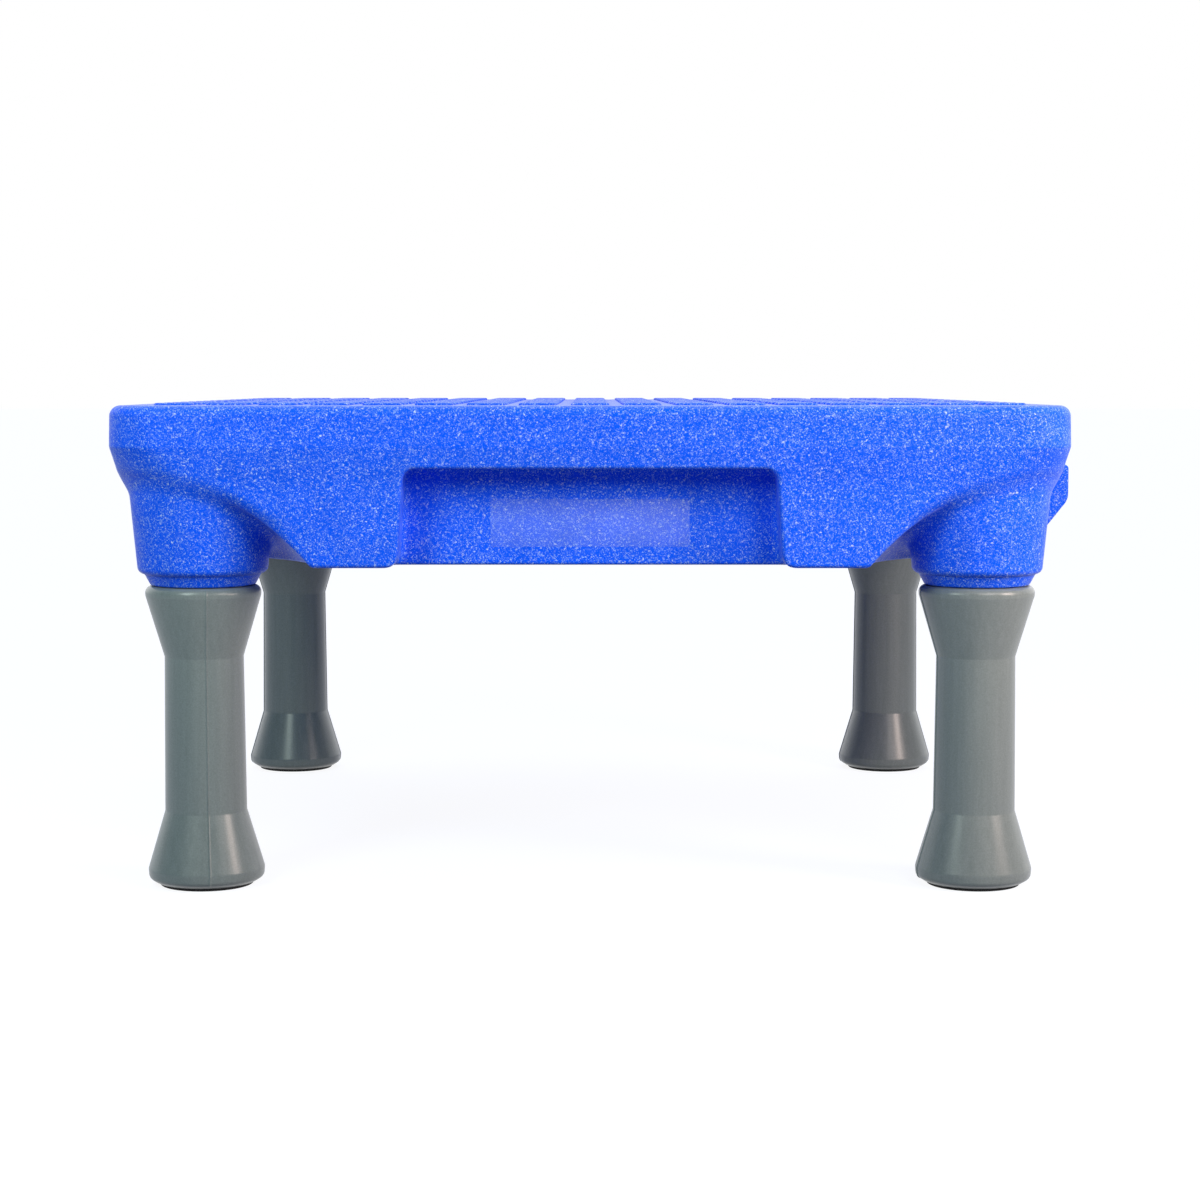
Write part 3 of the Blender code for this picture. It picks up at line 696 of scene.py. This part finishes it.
def grey_polyethylene():
    """Blow-moulded polyethylene, coloured through: a cool, faintly green mid grey, satin all over.

    To the eye: long soft highlights, a fine grain from the sand-blasted mould, faint upright
    streaks where the soft tube was stretched, and a painted highlight that makes the parting line and
    rims paler where convex.
    """
    material, shader = new_material(
        "grey blow-moulded polyethylene", {"IOR": 1.51, "Specular IOR Level": 0.5}
    )
    place = add_node(material, "ShaderNodeTexCoord").outputs["Object"]

    # Streaks 3 mm wide and 60 mm long, from a pattern drawn out twenty times along the leg
    stretched = add_node(
        material, "ShaderNodeMapping", {"Vector": place, "Scale": (1.0, 1.0, 0.05)}
    )
    streak = add_node(
        material, "ShaderNodeTexNoise",
        {"Vector": stretched.outputs["Vector"], "Scale": 1 / (3.0 * MM), "Detail": 2.0},
    )
    grain = add_node(
        material, "ShaderNodeTexNoise", {"Vector": place, "Scale": 1 / (0.9 * MM), "Detail": 2.0}
    )
    streaked = add_node(
        material, "ShaderNodeMix",
        {"Factor": streak.outputs["Fac"], 6: linear("#717b77"), 7: linear("#818a86")},
        data_type="RGBA",
    )
    grained = add_node(
        material, "ShaderNodeMix",
        {"Factor": 0.25, 6: streaked.outputs[2], 7: grain.outputs["Fac"]},
        data_type="RGBA", blend_type="OVERLAY",
    )

    # Painted highlight: the parting line's ridge and the rims are made paler where the surface is convex
    ridge = add_node(material, "ShaderNodeNewGeometry").outputs["Pointiness"]
    edge_highlight = add_node(
        material, "ShaderNodeMapRange",
        {"Value": ridge, "From Min": 0.56, "From Max": 0.68, "To Min": 0.0, "To Max": 0.9},
    )
    edge_highlighted = add_node(
        material, "ShaderNodeMix",
        {"Factor": edge_highlight.outputs["Result"], 6: grained.outputs[2], 7: linear("#c9ccc0")},
        data_type="RGBA",
    )
    material.node_tree.links.new(edge_highlighted.outputs[2], shader.inputs["Base Color"])
    gloss = add_node(
        material, "ShaderNodeMapRange",
        {"Value": streak.outputs["Fac"], "To Min": 0.29, "To Max": 0.33},
    )
    material.node_tree.links.new(gloss.outputs["Result"], shader.inputs["Roughness"])
    bump = add_node(
        material, "ShaderNodeBump",
        {"Height": grain.outputs["Fac"], "Strength": 0.25, "Distance": 0.05 * MM},
    )
    material.node_tree.links.new(bump.outputs["Normal"], shader.inputs["Normal"])
    return material


satin_grey = grey_polyethylene()
outline = leg_outline()
angles = leg_angles()
heights_on_neck = outline[:, 1] - LEG_LENGTH
on_neck = (np.abs(outline[:, 0] - NECK_RADIUS) < 0.01 * MM) & (heights_on_neck > 0)

# The parting line runs up the outer wall, from the foot's edge to the shoulder
outside = np.arange(len(outline)) < np.argmax(on_neck)
on_wall = outside & (outline[:, 0] > 24.0 * MM) & (outline[:, 1] > 2.0 * MM)

# Which way each leg lies from the middle, and the angle of its parting line in degrees
LEG_SPOTS = {
    "front_left": (-1, -1, -78.5),
    "front_right": (1, -1, -172.0),
    "rear_left": (-1, 1, 9.0),
    "rear_right": (1, 1, -3.0),
}
for side, (across, along, seam) in LEG_SPOTS.items():
    turned_by = np.radians(seam)
    swell = thread_rise(heights_on_neck, (angles + turned_by) % (2 * np.pi)) * on_neck[:, None]
    swell = swell + seam_rise(angles) * on_wall[:, None]
    leg_points, leg_faces = turned(outline, angles + turned_by, swell)
    leg_points += (
        DECK_MIDDLE + across * LEG_OFF_MIDDLE, DECK_MIDDLE + along * LEG_OFF_MIDDLE, LEG_FOOT
    )
    new_piece(
        f"leg_moulding_{side}", leg_points, leg_faces, satin_grey,
        f"leg_{side}", "leg_grey", f"leg_{side}",
    )

# Foot pads
#
# A thin disc of black rubber is let into the bottom of each leg, so that the platform doesn't
# slide. Only its edge shows, as a dark line at the floor.


def black_rubber():
    """Moulded rubber: near black and matt, with a dusty grain 0.8 mm across."""
    material, shader = new_material("black rubber", {"Roughness": 0.85, "IOR": 1.52})
    place = add_node(material, "ShaderNodeTexCoord").outputs["Object"]
    dust = add_node(
        material, "ShaderNodeTexNoise", {"Vector": place, "Scale": 1 / (0.8 * MM), "Detail": 3.0}
    )
    shade = add_node(
        material, "ShaderNodeMix",
        {"Factor": dust.outputs["Fac"], 6: linear("#0c0c0d"), 7: linear("#1d1d1f")},
        data_type="RGBA",
    )
    material.node_tree.links.new(shade.outputs[2], shader.inputs["Base Color"])
    return material


rubber = black_rubber()
pad_outline = np.concatenate([
    np.array([(0.0, 0.0), (24.0, 0.0), (24.6, 0.25), (26.4, 0.25), (27.0, 0.0)]),
    arc((29.3, 0.7), 0.7, -90, 0, 4),
    arc((29.3, 2.8), 0.7, 0, 90, 4),
    np.array([(0.0, 3.5)]),
]) * MM
for side, (across, along, _) in LEG_SPOTS.items():
    pad_points, pad_faces = turned(pad_outline, np.radians(np.arange(0, 360, 5.0)))
    pad_points += (DECK_MIDDLE + across * LEG_OFF_MIDDLE, DECK_MIDDLE + along * LEG_OFF_MIDDLE, 0.0)
    new_piece(
        f"rubber_pad_{side}", pad_points, pad_faces, rubber,
        f"foot_{side}", "pad_black", f"foot_pad_{side}",
    )

# Studio
#
# Paper on the floor, which keeps the object's soft shadow, a white surround, three softboxes and a
# broad even light from behind and above.


def white_floor():
    """Matt studio paper that glows to the camera and in reflections, and so reads as white.

    Its own colour is a blue-grey, so that it throws little light back up at the object.
    """
    material, shader = new_material(
        "white studio paper",
        {
            "Base Color": linear("#666e7c"), "Emission Color": linear("#ffffff"),
            "Roughness": 0.9, "IOR": 1.45, "Specular IOR Level": 0.0,
        },
    )
    path = add_node(material, "ShaderNodeLightPath")
    seen_or_mirrored = add_node(
        material, "ShaderNodeMath",
        {0: path.outputs["Is Camera Ray"], 1: path.outputs["Is Glossy Ray"]}, operation="MAXIMUM",
    )
    seen = add_node(
        material, "ShaderNodeMath",
        {0: seen_or_mirrored.outputs[0], 1: path.outputs["Is Transmission Ray"]}, operation="MAXIMUM",
    )
    glow = add_node(material, "ShaderNodeMath", {0: seen.outputs[0], 1: 0.92}, operation="MULTIPLY")
    material.node_tree.links.new(glow.outputs[0], shader.inputs["Emission Strength"])
    return material


floor_mesh = bpy.data.meshes.new("studio_floor")
floor_half = 30.0
floor_mesh.from_pydata(
    [(-floor_half, -floor_half, 0), (floor_half, -floor_half, 0),
     (floor_half, floor_half, 0), (-floor_half, floor_half, 0)],
    [], [(0, 1, 2, 3)],
)
floor_mesh.materials.append(white_floor())
floor = bpy.data.objects.new("studio_floor", floor_mesh)
bpy.context.scene.collection.objects.link(floor)

# The camera sees a white surround everywhere. Gloss sees it bright behind the object and dark
# behind the camera, and as a light it is dim and bluish
world = bpy.data.worlds.new("white surround")
world.use_nodes = True
bpy.context.scene.world = world
ambient = world.node_tree.nodes["Background"]
world_path = add_node(world, "ShaderNodeLightPath")
direction = add_node(world, "ShaderNodeTexCoord").outputs["Generated"]
apart = add_node(world, "ShaderNodeSeparateXYZ", {0: direction})
backdrop = add_node(
    world, "ShaderNodeMapRange",
    {"Value": apart.outputs["Y"], "From Min": -0.2, "From Max": 0.6, "To Min": 0.1, "To Max": 1.6},
)
mirrored = add_node(
    world, "ShaderNodeMath",
    {0: world_path.outputs["Is Glossy Ray"], 1: backdrop.outputs["Result"]}, operation="MULTIPLY",
)
lit = add_node(
    world, "ShaderNodeMath", {0: mirrored.outputs[0], 1: 0.26}, operation="MAXIMUM"
)
world_glow = add_node(
    world, "ShaderNodeMath",
    {0: world_path.outputs["Is Camera Ray"], 1: lit.outputs[0]}, operation="MAXIMUM",
)
world_tint = add_node(
    world, "ShaderNodeMix",
    {"Factor": world_path.outputs["Is Diffuse Ray"], 6: linear("#ffffff"), 7: linear("#86b0ff")},
    data_type="RGBA",
)
world.node_tree.links.new(world_tint.outputs[2], ambient.inputs["Color"])
world.node_tree.links.new(world_glow.outputs[0], ambient.inputs["Strength"])


def new_lamp(name, kind, place, azimuth, elevation, colour, energy):
    """A lamp that shines from an azimuth, counted from the camera's side, and an elevation."""
    lamp = bpy.data.lights.new(name, kind)
    lamp.color = linear(colour)[:3]
    lamp.energy = energy
    thing = bpy.data.objects.new(name, lamp)
    thing.location = place
    thing.rotation_euler = (np.radians(90 - elevation), 0.0, np.radians(azimuth))
    bpy.context.scene.collection.objects.link(thing)
    return lamp


# Softboxes stand close by, two in front and one at the right. The lamp behind and above is so far
# off that its light is even
left_box = new_lamp("lamp_left", "AREA", (-0.56, -0.90, 0.64), -28, 30, "#ecfff6", 4.1)
right_box = new_lamp("lamp_right", "AREA", (0.42, -0.88, 0.62), 24, 30, "#fff5f1", 2.8)
side_box = new_lamp("lamp_side", "AREA", (0.92, -0.68, 0.54), 57, 23, "#ffe9df", 8.0)
for box in (left_box, right_box, side_box):
    box.shape = "RECTANGLE"
    box.size, box.size_y = 0.28, 0.4
top_lamp = new_lamp("lamp_behind", "SUN", (0.0, 0.0, 0.0), 180, 60, "#ffffff", 0.45 * np.pi)
top_lamp.angle = np.radians(60)

# Camera, straight in front of the deck, just above its top and tilted down a little, as in the
# photograph, with the picture shifted by 10 of the frame's 1200 pixels
CAMERA_DISTANCE, CAMERA_HEIGHT, CAMERA_TILT = 1.867, 0.3243, 4.93
camera_data = bpy.data.cameras.new("camera")
camera_data.lens = 75.5
camera_data.sensor_width = 36.0
camera_data.shift_x = 10 / 1200
camera = bpy.data.objects.new("camera", camera_data)
camera.location = (DECK_MIDDLE, DECK_MIDDLE - CAMERA_DISTANCE, CAMERA_HEIGHT)
camera.rotation_euler = (np.radians(90 - CAMERA_TILT), 0.0, 0.0)
bpy.context.scene.collection.objects.link(camera)
bpy.context.scene.camera = camera
bpy.context.scene.view_settings.view_transform = "Standard"
